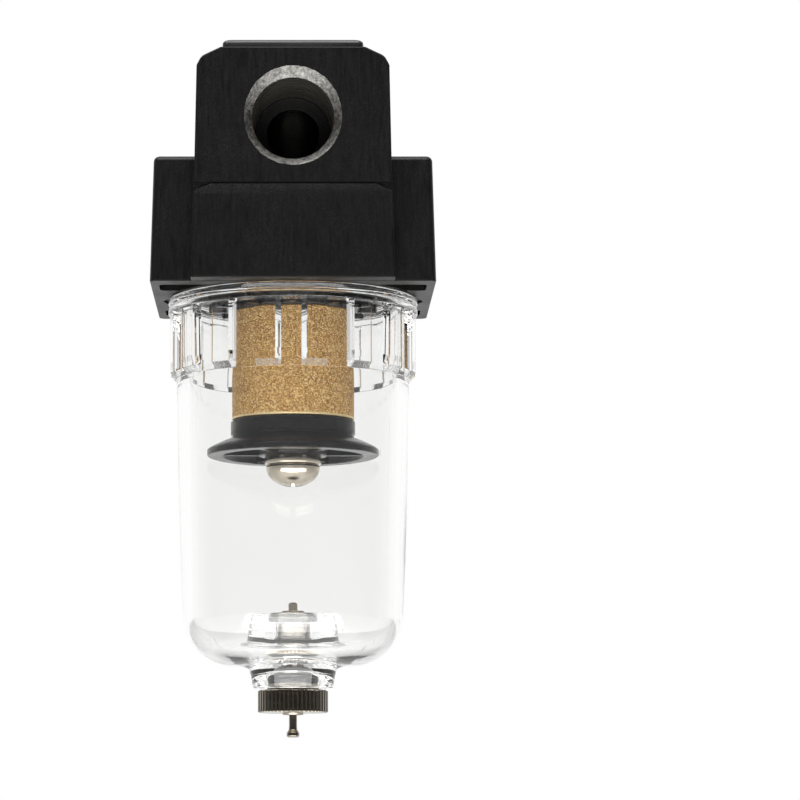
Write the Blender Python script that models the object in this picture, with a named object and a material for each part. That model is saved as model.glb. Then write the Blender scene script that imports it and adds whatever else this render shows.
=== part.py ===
"""Compressed air filter, 1/4 inch ports, 40 mm body: die-cast head, threaded clear bowl with grip
pockets, louvred deflector, sintered bronze element, baffle, and a push-to-drain valve.

Row frame: origin where the port axis crosses the bowl axis, +Y from inlet to outlet, +Z up.
Numbers below are millimetres; every mesh is written in metres.
"""

import math

import bmesh
import bpy
from mathutils import Vector

MM = 0.001

# ------------------------------------------------------------------ driving dimensions (mm)
HEAD_BOTTOM = -23.0          # underside of the head, bowl flange sits just under it
WING_TOP = -5.0              # shoulder of the wide part
WING_X = (20.15, 19.70)      # half width at the bottom, at the shoulder (casting draft)
WING_Y = (17.10, 16.85)      # half depth of the wide part
BLOCK_TOP = 10.1             # top of the port block
BLOCK_X = (14.35, 14.0, 13.82, 13.6)
PORT_FACE = 19.5             # port faces at +-Y
FOOT_FACE = 20.0             # the block below the ports stands a little proud of them
LEDGE_Z = -9.5
PORT_MOUTH_R, PORT_END_R = 5.78, 5.45      # tapered 1/4 pipe thread, minor radius
PORT_CHAMFER_R = 6.85
PORT_DEPTH_Y = 7.2           # the threaded part ends this far from the axis
PORT_HOLE_R = 3.8
SOCKET_R, SOCKET_ROOF = 17.0, -15.0
CHAMBER_R, CHAMBER_ROOF = 12.5, -9.5
TUBE_R, TUBE_BORE_R, TUBE_END = 5.2, 4.0, -22.0
SCREW_R = 1.95

BOWL_RIM_Z = -16.9
BOWL_NECK_R = 16.7
BOWL_FLANGE_R = 18.15
BOWL_RIB_R = 17.85           # grip ribs
BOWL_COLLAR_R = 16.9         # collar between the ribs
RIBS = 16
RIB_TOP, RIB_END = -25.5, -34.9
BOWL_BOTTOM = -76.15
BOSS_END = -79.4

ELEMENT_R, ELEMENT_BORE_R = 8.85, 6.0
ELEMENT_Z = (-40.8, -25.0)
BAFFLE_RIM_R = 12.45

NUT_R, NUT_TEETH = 5.02, 44
NUT_Z = (-82.8, -79.6)
PIN_R = 0.58
PIN_TOP, PIN_END = -66.9, -86.3

# ------------------------------------------------------------------ helpers
for old in list(bpy.data.objects):
    bpy.data.objects.remove(old, do_unlink=True)


def material(name, colour, rough, metal=0.0, clear=0.0):
    m = bpy.data.materials.new(name)
    m.use_nodes = True
    b = m.node_tree.nodes["Principled BSDF"]
    b.inputs["Base Color"].default_value = (*colour, 1.0)
    b.inputs["Roughness"].default_value = rough
    b.inputs["Metallic"].default_value = metal
    b.inputs["Transmission Weight"].default_value = clear
    return m


CAST = material("black_cast", (0.022, 0.022, 0.024), 0.55, 0.2)
PLATE = material("black_plate", (0.012, 0.012, 0.013), 0.4)
CLEAR = material("clear_polycarbonate", (0.96, 0.97, 0.96), 0.04, 0.0, 1.0)
NBR = material("nitrile_rubber", (0.02, 0.02, 0.02), 0.7)
MOULDED = material("black_plastic", (0.015, 0.015, 0.018), 0.42)
BRONZE = material("sintered_bronze", (0.62, 0.36, 0.13), 0.6, 0.7)
FIBRE = material("gasket", (0.10, 0.09, 0.08), 0.8)
NICKEL = material("nickel_plate", (0.66, 0.62, 0.56), 0.2, 1.0)
STEEL = material("spring_steel", (0.55, 0.55, 0.56), 0.3, 1.0)


def finish(name, bm, mat, smooth=35.0, helper=False):
    bmesh.ops.recalc_face_normals(bm, faces=bm.faces[:])
    mesh = bpy.data.meshes.new(name)
    bm.to_mesh(mesh)
    bm.free()
    obj = bpy.data.objects.new(name, mesh)
    bpy.context.scene.collection.objects.link(obj)
    if mat is not None:
        mesh.materials.append(mat)
    if smooth:
        mesh.shade_smooth()
        mesh.set_sharp_from_angle(angle=math.radians(smooth))
    if helper:
        obj.hide_render = True
        obj.display_type = "WIRE"
    return obj


def lathe(name, profile, mat, seg=40, angles=None, radial=None, helper=False, along="Z"):
    """Turns a profile of (radius, height) about the axis. A profile that starts and ends at radius 0
    is a solid of one shell; any other profile is closed on itself and makes a ring."""
    if angles is None:
        angles = [2 * math.pi * k / seg for k in range(seg)]
    solid = profile[0][0] == 0 and profile[-1][0] == 0
    bm = bmesh.new()
    rings = []
    for r, z in profile:
        if r == 0:
            p = (0, 0, z) if along == "Z" else (0, z, 0)
            rings.append([bm.verts.new(Vector(p) * MM)])
            continue
        ring = []
        for a in angles:
            rr = radial(a, r, z) if radial else r
            x, y = rr * math.sin(a), -rr * math.cos(a)
            p = (x, y, z) if along == "Z" else (x, z, -y)
            ring.append(bm.verts.new(Vector(p) * MM))
        rings.append(ring)
    n = len(angles)
    pairs = list(zip(rings, rings[1:])) + ([] if solid else [(rings[-1], rings[0])])
    for a, b in pairs:
        for k in range(n):
            j = (k + 1) % n
            corners = []
            for v in (a[k % len(a)], a[j % len(a)], b[j % len(b)], b[k % len(b)]):
                if v not in corners:
                    corners.append(v)
            if len(corners) >= 3:
                bm.faces.new(corners)
    return finish(name, bm, mat, helper=helper)


def loft(name, loops, mat, helper=False, smooth=35.0):
    """Skins closed loops with equal point counts, lowest first, and caps both ends."""
    bm = bmesh.new()
    rows = [[bm.verts.new(Vector(p) * MM) for p in loop] for loop in loops]
    n = len(rows[0])
    for a, b in zip(rows, rows[1:]):
        for k in range(n):
            j = (k + 1) % n
            bm.faces.new((a[k], a[j], b[j], b[k]))
    bm.faces.new(rows[0][::-1])
    bm.faces.new(rows[-1])
    return finish(name, bm, mat, smooth=smooth, helper=helper)


def rounded_rect(hx, hy, r, z, steps=3, cx=0.0, cy=0.0):
    pts = []
    for sx, sy, start in ((1, 1, 0), (-1, 1, 90), (-1, -1, 180), (1, -1, 270)):
        for k in range(steps + 1):
            a = math.radians(start + 90 * k / steps)
            pts.append((cx + sx * (hx - r) + r * math.cos(a), cy + sy * (hy - r) + r * math.sin(a), z))
    return pts


def boolean(target, other, operation, label):
    m = target.modifiers.new(label, "BOOLEAN")
    m.operation = operation
    m.solver = "EXACT"
    m.object = other


def tube_along(name, points, radius, sides, mat):
    """A round wire along a list of points, with flat caps."""
    bm = bmesh.new()
    pts = [Vector(p) for p in points]
    rings = []
    for i, p in enumerate(pts):
        t = (pts[min(i + 1, len(pts) - 1)] - pts[max(i - 1, 0)]).normalized()
        side = t.cross(Vector((0, 0, 1))).normalized()
        up = side.cross(t).normalized()
        rings.append([
            bm.verts.new((p + (side * math.cos(2 * math.pi * k / sides) + up * math.sin(2 * math.pi * k / sides)) * radius) * MM)
            for k in range(sides)
        ])
    for a, b in zip(rings, rings[1:]):
        for k in range(sides):
            j = (k + 1) % sides
            bm.faces.new((a[k], a[j], b[j], b[k]))
    bm.faces.new(rings[0][::-1])
    bm.faces.new(rings[-1])
    return finish(name, bm, mat)


# ------------------------------------------------------------------ head: die-cast body
def wing_loops():
    loops = []
    height = WING_TOP - HEAD_BOTTOM
    edge = 0.8
    for z, inset in ((HEAD_BOTTOM, 0.25), (HEAD_BOTTOM + 0.25, 0.0), (WING_TOP - edge, 0.0),
                     (WING_TOP - edge * 0.45, 0.12), (WING_TOP - edge * 0.12, 0.42), (WING_TOP, edge)):
        t = (z - HEAD_BOTTOM) / height
        hx = WING_X[0] + (WING_X[1] - WING_X[0]) * t - inset
        hy = WING_Y[0] + (WING_Y[1] - WING_Y[0]) * t - inset
        loops.append(rounded_rect(hx, hy, 1.2, z))
    return loops


head = loft("head_body", wing_loops(), CAST, smooth=0)

# lower block: stands proud of the wide part on both port sides, with a rounded ledge on top
foot_rows = []
for z, hx, hy in ((HEAD_BOTTOM + 0.1, BLOCK_X[0] - 0.2, FOOT_FACE - 0.2), (HEAD_BOTTOM + 0.35, BLOCK_X[0], FOOT_FACE),
                  (-11.5, BLOCK_X[1] + 0.05, FOOT_FACE), (-10.4, BLOCK_X[1] + 0.02, FOOT_FACE - 0.25),
                  (LEDGE_Z, BLOCK_X[1] - 0.02, PORT_FACE - 0.15)):
    foot_rows.append(rounded_rect(hx, hy, 0.5, z, steps=2))
foot = loft("foot_block", foot_rows, None, helper=True, smooth=0)

# port block: a prism along Y with sloping shoulders at the top
shoulder = [(-BLOCK_X[2], LEDGE_Z - 1.0), (BLOCK_X[2], LEDGE_Z - 1.0), (BLOCK_X[3], 7.0), (13.45, 7.9), (13.0, 8.6),
            (10.4, BLOCK_TOP), (-10.4, BLOCK_TOP), (-13.0, 8.6), (-13.45, 7.9), (-BLOCK_X[3], 7.0)]
port_rows = []
for y, inset in ((-PORT_FACE, 0.15), (-PORT_FACE + 0.15, 0.0), (PORT_FACE - 0.15, 0.0), (PORT_FACE, 0.15)):
    port_rows.append([(x * (1 - inset / 14.0), y, z - (inset if z > 0 else 0)) for x, z in shoulder])
port_block = loft("port_block", [row[::-1] for row in port_rows], None, helper=True, smooth=0)

boolean(head, foot, "UNION", "foot")
boolean(head, port_block, "UNION", "port_block")

# socket for the bowl, annular inlet chamber, central outlet tube and the screw's blind hole
bore = lathe("socket_cutter", [
    (0, HEAD_BOTTOM - 1.0), (SOCKET_R + 0.5, HEAD_BOTTOM - 1.0), (SOCKET_R + 0.5, HEAD_BOTTOM + 0.1), (SOCKET_R, HEAD_BOTTOM + 0.6),
    (SOCKET_R, SOCKET_ROOF), (CHAMBER_R, SOCKET_ROOF),
    (CHAMBER_R, CHAMBER_ROOF), (TUBE_R, CHAMBER_ROOF), (TUBE_R, TUBE_END), (TUBE_BORE_R, TUBE_END),
    (TUBE_BORE_R, 3.6), (SCREW_R + 0.2, 3.6), (SCREW_R + 0.2, 8.0), (0, 8.4)], None, seg=48, helper=True)
boolean(head, bore, "DIFFERENCE", "socket")

inlet = lathe("inlet_cutter", [
    (0, -22.0), (PORT_CHAMFER_R + 0.1, -22.0), (PORT_CHAMFER_R, -PORT_FACE), (PORT_MOUTH_R, -PORT_FACE + 0.95),
    (PORT_END_R, -PORT_DEPTH_Y), (PORT_HOLE_R, -PORT_DEPTH_Y), (PORT_HOLE_R, -6.1), (0, -6.1)], None, seg=36, along="Y", helper=True)
outlet = lathe("outlet_cutter", [
    (0, 22.0), (PORT_CHAMFER_R + 0.1, 22.0), (PORT_CHAMFER_R, PORT_FACE), (PORT_MOUTH_R, PORT_FACE - 0.95),
    (PORT_END_R, PORT_DEPTH_Y), (PORT_HOLE_R - 0.3, PORT_DEPTH_Y), (PORT_HOLE_R - 0.3, 2.4), (0, 2.4)], None, seg=36, along="Y", helper=True)
boolean(head, inlet, "DIFFERENCE", "inlet")
boolean(head, outlet, "DIFFERENCE", "outlet")

# downward slot that leads the inlet air past the central tube into the chamber
arc = [(x, -math.sqrt((TUBE_R + 0.02) ** 2 - x * x)) for x in (3.7, 2.5, 1.25, 0.0, -1.25, -2.5, -3.7)]
slot_plan = [(-3.7, -6.6), (3.7, -6.6)] + arc
slot = loft("inlet_slot_cutter", [[(x, y, z) for x, y in slot_plan] for z in (CHAMBER_ROOF - 0.8, 3.7)], None, helper=True, smooth=0)
boolean(head, slot, "DIFFERENCE", "inlet_slot")

# lightening pockets in the underside, one behind each corner
for i, (sx, sy) in enumerate(((-1, -1), (1, -1), (-1, 1), (1, 1))):
    # each pocket follows a wall of even thickness round the bowl socket
    wall = SOCKET_R + 1.45
    curve = [(math.sin(a) * wall, math.cos(a) * wall) for a in (math.radians(d) for d in (42, 47, 52, 57, 61.5))]
    outline = [(18.9, 9.2), (18.9, 13.3), (18.2, 14.0), (12.1, 14.0)] + curve + [(18.4, 8.8)]
    pts = [(sx * x, sy * y) for x, y in outline]
    cutter = loft(f"corner_pocket_cutter_{i}", [[(x, y, z) for x, y in pts] for z in (HEAD_BOTTOM - 1.0, -15.0)], None, helper=True, smooth=0)
    boolean(head, cutter, "DIFFERENCE", f"pocket_{i}")

# ------------------------------------------------------------------ cover plate on top, blank, with a raised flow arrow
plate_rows = []
for z, inset in ((BLOCK_TOP + 0.05, 0.0), (BLOCK_TOP + 0.8, 0.0), (BLOCK_TOP + 1.15, 0.35)):
    plate_rows.append(rounded_rect(9.9 - inset, 19.1 - inset, 0.8, z, steps=3))
plate = loft("top_plate", plate_rows, PLATE)
arrow = [(-1.1, -8.5), (1.1, -8.5), (1.1, 3.0), (3.4, 3.0), (0, 8.5), (-3.4, 3.0), (-1.1, 3.0)]
arrow_boss = loft("arrow_boss", [[(x, y, z) for x, y in arrow] for z in (BLOCK_TOP + 0.4, BLOCK_TOP + 1.27)], None, helper=True, smooth=0)
boolean(plate, arrow_boss, "UNION", "arrow")

# ------------------------------------------------------------------ bowl: clear polycarbonate
# Sixteen raised grip ribs with sloping flanks; a gap between two ribs faces the inlet port.
# The mould parts front and back, so the flank that looks towards the parting line is the wider one.
RIB_HALF_FOOT = math.radians(6.4)
FLANK_WIDE, FLANK_NARROW = math.radians(2.4), math.radians(1.1)
rib_angles, on_rib = [], {}
for k in range(RIBS):
    centre = 2 * math.pi * (k + 0.5) / RIBS
    lower_wide = math.sin(2 * centre) > 0
    low = FLANK_WIDE if lower_wide else FLANK_NARROW
    high = FLANK_NARROW if lower_wide else FLANK_WIDE
    for offset, raised in ((-RIB_HALF_FOOT, False), (-RIB_HALF_FOOT + low, True), (RIB_HALF_FOOT - high, True), (RIB_HALF_FOOT, False)):
        angle = centre + offset
        rib_angles.append(angle)
        on_rib[round(angle, 9)] = raised


def bowl_radius(a, r, z):
    if abs(r - BOWL_RIB_R) < 1e-6 and not on_rib[round(a, 9)]:
        return BOWL_COLLAR_R
    return r


outer = [(15.3, BOWL_RIM_Z), (16.4, BOWL_RIM_Z), (BOWL_NECK_R, BOWL_RIM_Z - 0.35), (BOWL_NECK_R, -22.4), (16.4, -23.1),
         (BOWL_FLANGE_R - 0.1, -23.1), (BOWL_FLANGE_R, -23.3), (BOWL_FLANGE_R, -23.85), (17.5, -24.15), (BOWL_FLANGE_R, -24.45),
         (BOWL_FLANGE_R, -25.15), (BOWL_RIB_R + 0.1, -25.3), (BOWL_RIB_R, RIB_TOP), (BOWL_RIB_R, RIB_END + 0.9),
         (BOWL_COLLAR_R, RIB_END), (16.72, -36.4), (16.6, -49.0), (16.2, -61.0), (15.83, -68.75)]
OUTER_CORNER, INNER_CORNER, BOWL_FLOOR = 7.4, 5.7, -74.3
for d in (15, 30, 45, 60, 75, 90):
    a = math.radians(d)
    outer.append((15.83 - OUTER_CORNER + OUTER_CORNER * math.cos(a), BOWL_BOTTOM + OUTER_CORNER - OUTER_CORNER * math.sin(a)))
outer += [(7.2, BOWL_BOTTOM), (6.3, -76.5), (6.0, -77.3), (5.7, BOSS_END)]
inner = [(3.95, BOSS_END), (3.95, -76.9), (2.75, -76.6), (2.75, -70.7), (3.75, -70.6), (3.75, -68.9), (5.7, -68.9), (6.1, -69.2),
         (6.5, -73.4), (7.2, BOWL_FLOOR)]
for d in (90, 75, 60, 45, 30, 15, 0):
    a = math.radians(d)
    inner.append((14.35 - INNER_CORNER + INNER_CORNER * math.cos(a), BOWL_FLOOR + INNER_CORNER - INNER_CORNER * math.sin(a)))
inner += [(14.75, -49.3), (15.0, -32.5), (15.3, -32.2)]
bowl = lathe("bowl", outer + inner, CLEAR, angles=rib_angles, radial=bowl_radius)

# ------------------------------------------------------------------ seal ring at the bowl's rim
def ring(name, mean_r, half_w, z, mat, seg=40, sides=8):
    prof = [(mean_r + half_w * math.cos(2 * math.pi * k / sides), z + half_w * math.sin(2 * math.pi * k / sides)) for k in range(sides)]
    return lathe(name, prof, mat, seg=seg)


ring("bowl_o_ring", 15.95, 0.82, -15.96, NBR, seg=40, sides=6)

# ------------------------------------------------------------------ deflector with slanted louvres
VANES = 12
deflector = lathe("deflector", [(4.3, -22.15), (12.4, -22.15), (12.4, -22.95), (9.75, -22.95), (9.75, -24.85), (9.0, -24.85), (9.0, -24.0),
                                (4.3, -24.0)], MOULDED, seg=36)
for k in range(VANES):
    a = 2 * math.pi * k / VANES
    lean = math.radians(13)
    rows = []
    for z, turn in ((-25.1, 0.0), (-22.6, 1.0)):
        loop = []
        for r, da in ((9.4, -0.035), (12.2, -0.03), (12.2, 0.03), (9.4, 0.035)):
            ang = a + turn * lean + da
            loop.append((r * math.sin(ang), -r * math.cos(ang), z))
        rows.append(loop)
    vane = loft(f"vane_{k}", rows, None, helper=True, smooth=0)
    boolean(deflector, vane, "UNION", f"vane_{k}")

# ------------------------------------------------------------------ element, its two gaskets, the baffle
lathe("element_top_gasket", [(6.2, -24.1), (8.6, -24.1), (8.6, -24.9), (6.2, -24.9)], FIBRE, seg=36)
lathe("filter_element", [(ELEMENT_BORE_R, ELEMENT_Z[1]), (ELEMENT_R - 0.25, ELEMENT_Z[1]), (ELEMENT_R, ELEMENT_Z[1] - 0.25), (ELEMENT_R, ELEMENT_Z[0] + 0.25),
                         (ELEMENT_R - 0.25, ELEMENT_Z[0]), (ELEMENT_BORE_R, ELEMENT_Z[0])], BRONZE, seg=36)
lathe("element_bottom_gasket", [(6.2, -40.9), (8.1, -40.9), (8.1, -41.4), (6.2, -41.4)], FIBRE, seg=36)

baffle = lathe("baffle", [
    (2.3, -41.5), (8.4, -41.5), (8.4, -40.95), (9.0, -40.95), (9.0, -42.8), (8.75, -43.1), (9.0, -43.35), (10.6, -44.05), (11.9, -44.75),
    (BAFFLE_RIM_R, -45.15), (BAFFLE_RIM_R, -45.95), (10.2, -45.95), (9.8, -45.2), (8.2, -43.9), (5.4, -43.9), (4.95, -45.85), (2.3, -45.85)], MOULDED, seg=44)
for k in range(6):
    a = math.pi / 6 + math.pi * k / 3
    c, s = math.cos(a), math.sin(a)
    def put(u, w, z):
        return (u * s + w * c, -u * c + w * s, z)
    rows = [[put(4.6, -0.4, z), put(rr, -0.4, z), put(rr, 0.4, z), put(4.6, 0.4, z)] for z, rr in ((-45.7, 10.6), (-45.1, 10.4), (-43.6, 8.4))]
    rib = loft(f"rib_{k}", rows, None, helper=True, smooth=0)
    boolean(baffle, rib, "UNION", f"rib_{k}")

# ------------------------------------------------------------------ washer and long pan-head screw with a cross recess
lathe("screw_washer", [(2.15, -45.95), (4.1, -45.95), (4.1, -46.95), (3.95, -47.1), (2.15, -47.1)], NICKEL, seg=32)
screw = lathe("retaining_screw", [
    (0, 7.4), (1.4, 7.4), (SCREW_R, 6.8), (SCREW_R, -47.2), (3.8, -47.2), (3.9, -47.55), (3.72, -48.4), (3.2, -49.2), (2.35, -49.8), (1.25, -50.13), (0, -50.2)],
    NICKEL, seg=28)
for k, (hx, hy) in enumerate(((1.7, 0.33), (0.33, 1.7))):
    rows = [[(x * t, y * t, z) for x, y in ((-hx, -hy), (hx, -hy), (hx, hy), (-hx, hy))] for z, t in ((-50.8, 1.15), (-48.4, 0.45))]
    cross = loft(f"recess_cutter_{k}", rows, None, helper=True, smooth=0)
    boolean(screw, cross, "DIFFERENCE", f"recess_{k}")

# ------------------------------------------------------------------ drain valve
lathe("drain_body", [
    (0.85, -69.9), (1.75, -69.9), (1.75, -69.05), (3.2, -69.05), (3.4, -69.2), (3.4, -70.1), (2.5, -70.1), (2.5, -81.6), (2.35, -81.8),
    (1.75, -81.8), (1.75, -72.0), (0.85, -71.9)], NICKEL, seg=28)
lathe("drain_flange_gasket", [(2.6, -70.15), (3.6, -70.15), (3.6, -70.5), (2.6, -70.5)], NBR, seg=28)
ring("drain_o_ring", 3.2, 0.6, -77.65, NBR, seg=24, sides=6)
lathe("drain_washer", [(2.65, -78.45), (3.8, -78.45), (3.8, -79.45), (2.65, -79.45)], NICKEL, seg=28)


def knurl(a, r, z):
    if r > 4.9:
        tooth = (a * NUT_TEETH / (2 * math.pi)) % 1.0
        return r - (0.26 if abs(tooth - 0.5) < 0.26 else 0.0)
    return r


nut_angles = [2 * math.pi * k / (2 * NUT_TEETH) for k in range(2 * NUT_TEETH)]
lathe("drain_nut", [
    (2.62, -79.55), (4.75, -79.55), (NUT_R, -79.75), (NUT_R, -82.6), (4.75, -82.8), (1.55, -82.8), (1.45, -83.1), (1.2, -83.1), (1.2, -82.1),
    (2.62, -82.1)], NICKEL, angles=nut_angles, radial=knurl)

lathe("drain_pin", [
    (0, PIN_TOP), (0.45, PIN_TOP), (0.65, PIN_TOP - 0.2), (0.65, -68.3), (1.6, -68.3), (1.6, -68.75), (PIN_R, -68.75), (PIN_R, -85.0),
    (0.62, -85.2), (0.92, -85.7), (0.92, -86.05), (0.7, PIN_END), (0, PIN_END)], NICKEL, seg=20)
lathe("drain_pin_seal", [(0.64, -68.8), (1.5, -68.8), (1.5, -69.7), (1.3, -69.85), (0.64, -69.85)], NBR, seg=24)
lathe("drain_pin_clip", [(0.64, -78.3), (1.5, -78.3), (1.5, -78.7), (0.64, -78.7)], STEEL, seg=20)

coil = []
TURNS, COIL_TOP, COIL_END, COIL_R, WIRE_R = 5, -72.35, -77.98, 1.2, 0.17
for k in range(TURNS * 10 + 1):
    t = k / (TURNS * 10)
    a = 2 * math.pi * TURNS * t
    coil.append((COIL_R * math.cos(a), COIL_R * math.sin(a), COIL_TOP + (COIL_END - COIL_TOP) * t))
tube_along("drain_spring", coil, WIRE_R, 5, STEEL)
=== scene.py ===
"""Looks of the compressed air filter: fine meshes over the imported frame, materials, stage, light and camera."""
import math

import bmesh
import bpy
import numpy as np
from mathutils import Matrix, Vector


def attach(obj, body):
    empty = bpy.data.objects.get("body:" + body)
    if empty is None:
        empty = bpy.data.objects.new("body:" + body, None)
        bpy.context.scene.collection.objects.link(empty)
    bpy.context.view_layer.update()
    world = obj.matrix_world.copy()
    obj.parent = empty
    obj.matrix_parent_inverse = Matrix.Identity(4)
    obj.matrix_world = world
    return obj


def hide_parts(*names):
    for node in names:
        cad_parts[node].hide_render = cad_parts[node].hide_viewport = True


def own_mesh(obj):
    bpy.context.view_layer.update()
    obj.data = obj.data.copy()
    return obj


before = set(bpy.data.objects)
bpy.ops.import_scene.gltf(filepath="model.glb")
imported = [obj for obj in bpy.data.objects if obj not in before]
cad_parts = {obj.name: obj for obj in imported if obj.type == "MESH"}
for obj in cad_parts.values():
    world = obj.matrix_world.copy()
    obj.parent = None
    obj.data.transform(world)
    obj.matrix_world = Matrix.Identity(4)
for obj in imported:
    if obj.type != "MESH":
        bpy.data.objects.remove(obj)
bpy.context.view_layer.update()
MM = 0.001
TAU = 2 * math.pi
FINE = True


# ---------------------------------------------------------------- node helpers
class Mat:
    def __init__(self, name):
        self.m = bpy.data.materials.new(name)
        self.m.use_nodes = True
        self.t = self.m.node_tree
        self.b = self.t.nodes["Principled BSDF"]
        self.out = self.t.nodes["Material Output"]
        self.coord = self.t.nodes.new("ShaderNodeTexCoord")

    def set(self, **kw):
        for k, v in kw.items():
            s = self.b.inputs[k.replace("_", " ")]
            s.default_value = (*v, 1.0) if isinstance(v, tuple) and len(v) == 3 and s.type == "RGBA" else v
        return self

    def node(self, kind, **kw):
        n = self.t.nodes.new(kind)
        for k, v in kw.items():
            setattr(n, k, v)
        return n

    def link(self, a, b):
        self.t.links.new(a, b)

    def mapped(self, scale=(1, 1, 1), rot=(0, 0, 0)):
        mp = self.node("ShaderNodeMapping")
        mp.inputs["Scale"].default_value = scale
        mp.inputs["Rotation"].default_value = rot
        self.link(self.coord.outputs["Object"], mp.inputs["Vector"])
        return mp.outputs["Vector"]

    def noise(self, scale, detail=4.0, rough=0.55, stretch=(1, 1, 1), distort=0.0):
        n = self.node("ShaderNodeTexNoise")
        n.inputs["Scale"].default_value = scale
        n.inputs["Detail"].default_value = detail
        n.inputs["Roughness"].default_value = rough
        n.inputs["Distortion"].default_value = distort
        self.link(self.mapped(stretch), n.inputs["Vector"])
        return n.outputs["Fac"]

    def voronoi(self, scale, feature="F1", out="Distance", stretch=(1, 1, 1), rand=1.0):
        n = self.node("ShaderNodeTexVoronoi", feature=feature)
        n.inputs["Scale"].default_value = scale
        n.inputs["Randomness"].default_value = rand
        self.link(self.mapped(stretch), n.inputs["Vector"])
        return n.outputs[out]

    def ramp(self, fac, stops):
        n = self.node("ShaderNodeValToRGB")
        e = n.color_ramp.elements
        while len(e) < len(stops):
            e.new(0.5)
        for el, (p, c) in zip(e, stops):
            el.position = p
            el.color = (c, c, c, 1) if isinstance(c, (int, float)) else (*c, 1)
        self.link(fac, n.inputs["Fac"])
        return n.outputs["Color"]

    def mix(self, fac, a, b, mode="MIX"):
        n = self.node("ShaderNodeMix", data_type="RGBA", blend_type=mode)
        for sock, v in ((n.inputs[0], fac), (n.inputs[6], a), (n.inputs[7], b)):
            if isinstance(v, (int, float)):
                sock.default_value = v if sock.type == "VALUE" else (v, v, v, 1)
            elif isinstance(v, tuple):
                sock.default_value = (*v, 1)
            else:
                self.link(v, sock)
        return n.outputs[2]

    def math(self, op, a, b=0.5, clamp=False):
        n = self.node("ShaderNodeMath", operation=op, use_clamp=clamp)
        for sock, v in ((n.inputs[0], a), (n.inputs[1], b)):
            if isinstance(v, (int, float)):
                sock.default_value = v
            else:
                self.link(v, sock)
        return n.outputs[0]

    def range(self, fac, lo, hi, flo=0.0, fhi=1.0):
        n = self.node("ShaderNodeMapRange")
        self.link(fac, n.inputs["Value"])
        n.inputs["From Min"].default_value = flo
        n.inputs["From Max"].default_value = fhi
        n.inputs["To Min"].default_value = lo
        n.inputs["To Max"].default_value = hi
        return n.outputs["Result"]

    def bump(self, height, distance, strength=1.0, normal=None):
        n = self.node("ShaderNodeBump")
        n.inputs["Strength"].default_value = strength
        n.inputs["Distance"].default_value = distance
        self.link(height, n.inputs["Height"])
        if normal is not None:
            self.link(normal, n.inputs["Normal"])
        return n.outputs["Normal"]

    def wire(self, **kw):
        for k, v in kw.items():
            self.link(v, self.b.inputs[k.replace("_", " ")])
        return self


def cast_black():
    a = Mat("cast_black").set(Metallic=0.0, IOR=1.5, Specular_IOR_Level=0.2)
    grain = a.noise(2600, 3, 0.6, (1, 1, 0.10))
    mottle = a.noise(160, 5, 0.6)
    speck = a.voronoi(3800)
    a.wire(Base_Color=a.mix(a.range(mottle, 0.0, 1.0, 0.3, 0.7), a.ramp(grain, ((0.3, 0.0015), (0.72, 0.0055))), a.ramp(speck, ((0.0, 0.012), (0.5, 0.002)))))
    a.wire(Roughness=a.range(a.mix(0.5, grain, mottle), 0.30, 0.44, 0.3, 0.7))
    n1 = a.bump(grain, 0.00002, 0.5)
    n2 = a.bump(mottle, 0.00003, 0.4, n1)
    a.wire(Normal=a.bump(speck, 0.00004, 0.4, n2))
    return a.m


def bare_cut():
    a = Mat("bare_cut").set(Metallic=1.0)
    chatter = a.noise(2400, 4, 0.75)
    patch = a.noise(1300, 5, 0.75)
    a.wire(Base_Color=a.mix(a.range(patch, 0, 1, 0.35, 0.65), (0.075, 0.073, 0.069), (0.29, 0.283, 0.266)))
    a.wire(Roughness=a.range(chatter, 0.28, 0.6, 0.3, 0.7))
    n = a.bump(chatter, 0.00012, 0.8)
    a.wire(Normal=a.bump(patch, 0.00016, 0.6, n))
    return a.m


def bore_metal():
    a = Mat("bore_metal").set(Metallic=0.85)
    rings = a.noise(900, 3, 0.6, (0.3, 6.0, 0.3))
    a.wire(Base_Color=a.ramp(rings, ((0.3, (0.10, 0.092, 0.08)), (0.7, (0.19, 0.175, 0.15)))))
    a.wire(Roughness=a.range(rings, 0.22, 0.42, 0.3, 0.7))
    a.wire(Normal=a.bump(rings, 0.00004, 0.4))
    return a.m


def plate_black():
    a = Mat("plate_black").set(Metallic=0.0)
    g = a.noise(1800, 3, 0.6, (1, 0.12, 1))
    s = a.noise(120, 4, 0.6)
    a.wire(Base_Color=a.ramp(g, ((0.3, 0.003), (0.7, 0.009))))
    a.wire(Roughness=a.range(s, 0.26, 0.44, 0.3, 0.7))
    a.wire(Normal=a.bump(g, 0.00003, 0.4))
    return a.m


def polycarbonate():
    a = Mat("clear_polycarbonate").set(Transmission_Weight=1.0, IOR=1.55, Roughness=0.0)
    haze = a.noise(60, 4, 0.55)
    a.wire(Base_Color=a.ramp(haze, ((0.3, (0.972, 0.976, 0.968)), (0.7, (0.992, 0.994, 0.988)))))
    a.wire(Roughness=a.range(haze, 0.0, 0.022, 0.45, 0.75))
    flow = a.noise(85, 2, 0.4, (1, 1, 0.35))
    a.wire(Normal=a.bump(flow, 0.00022, 0.25))
    return a.m


def frosted():
    a = Mat("frosted_polycarbonate").set(IOR=1.55, Transmission_Weight=0.93)
    grain = a.noise(1500, 4, 0.65)
    a.wire(Base_Color=a.ramp(grain, ((0.3, (0.86, 0.86, 0.84)), (0.7, (1.0, 1.0, 0.99)))))
    a.wire(Roughness=a.range(grain, 0.14, 0.36, 0.3, 0.7))
    a.wire(Normal=a.bump(grain, 0.00010, 0.8))
    return a.m


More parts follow.
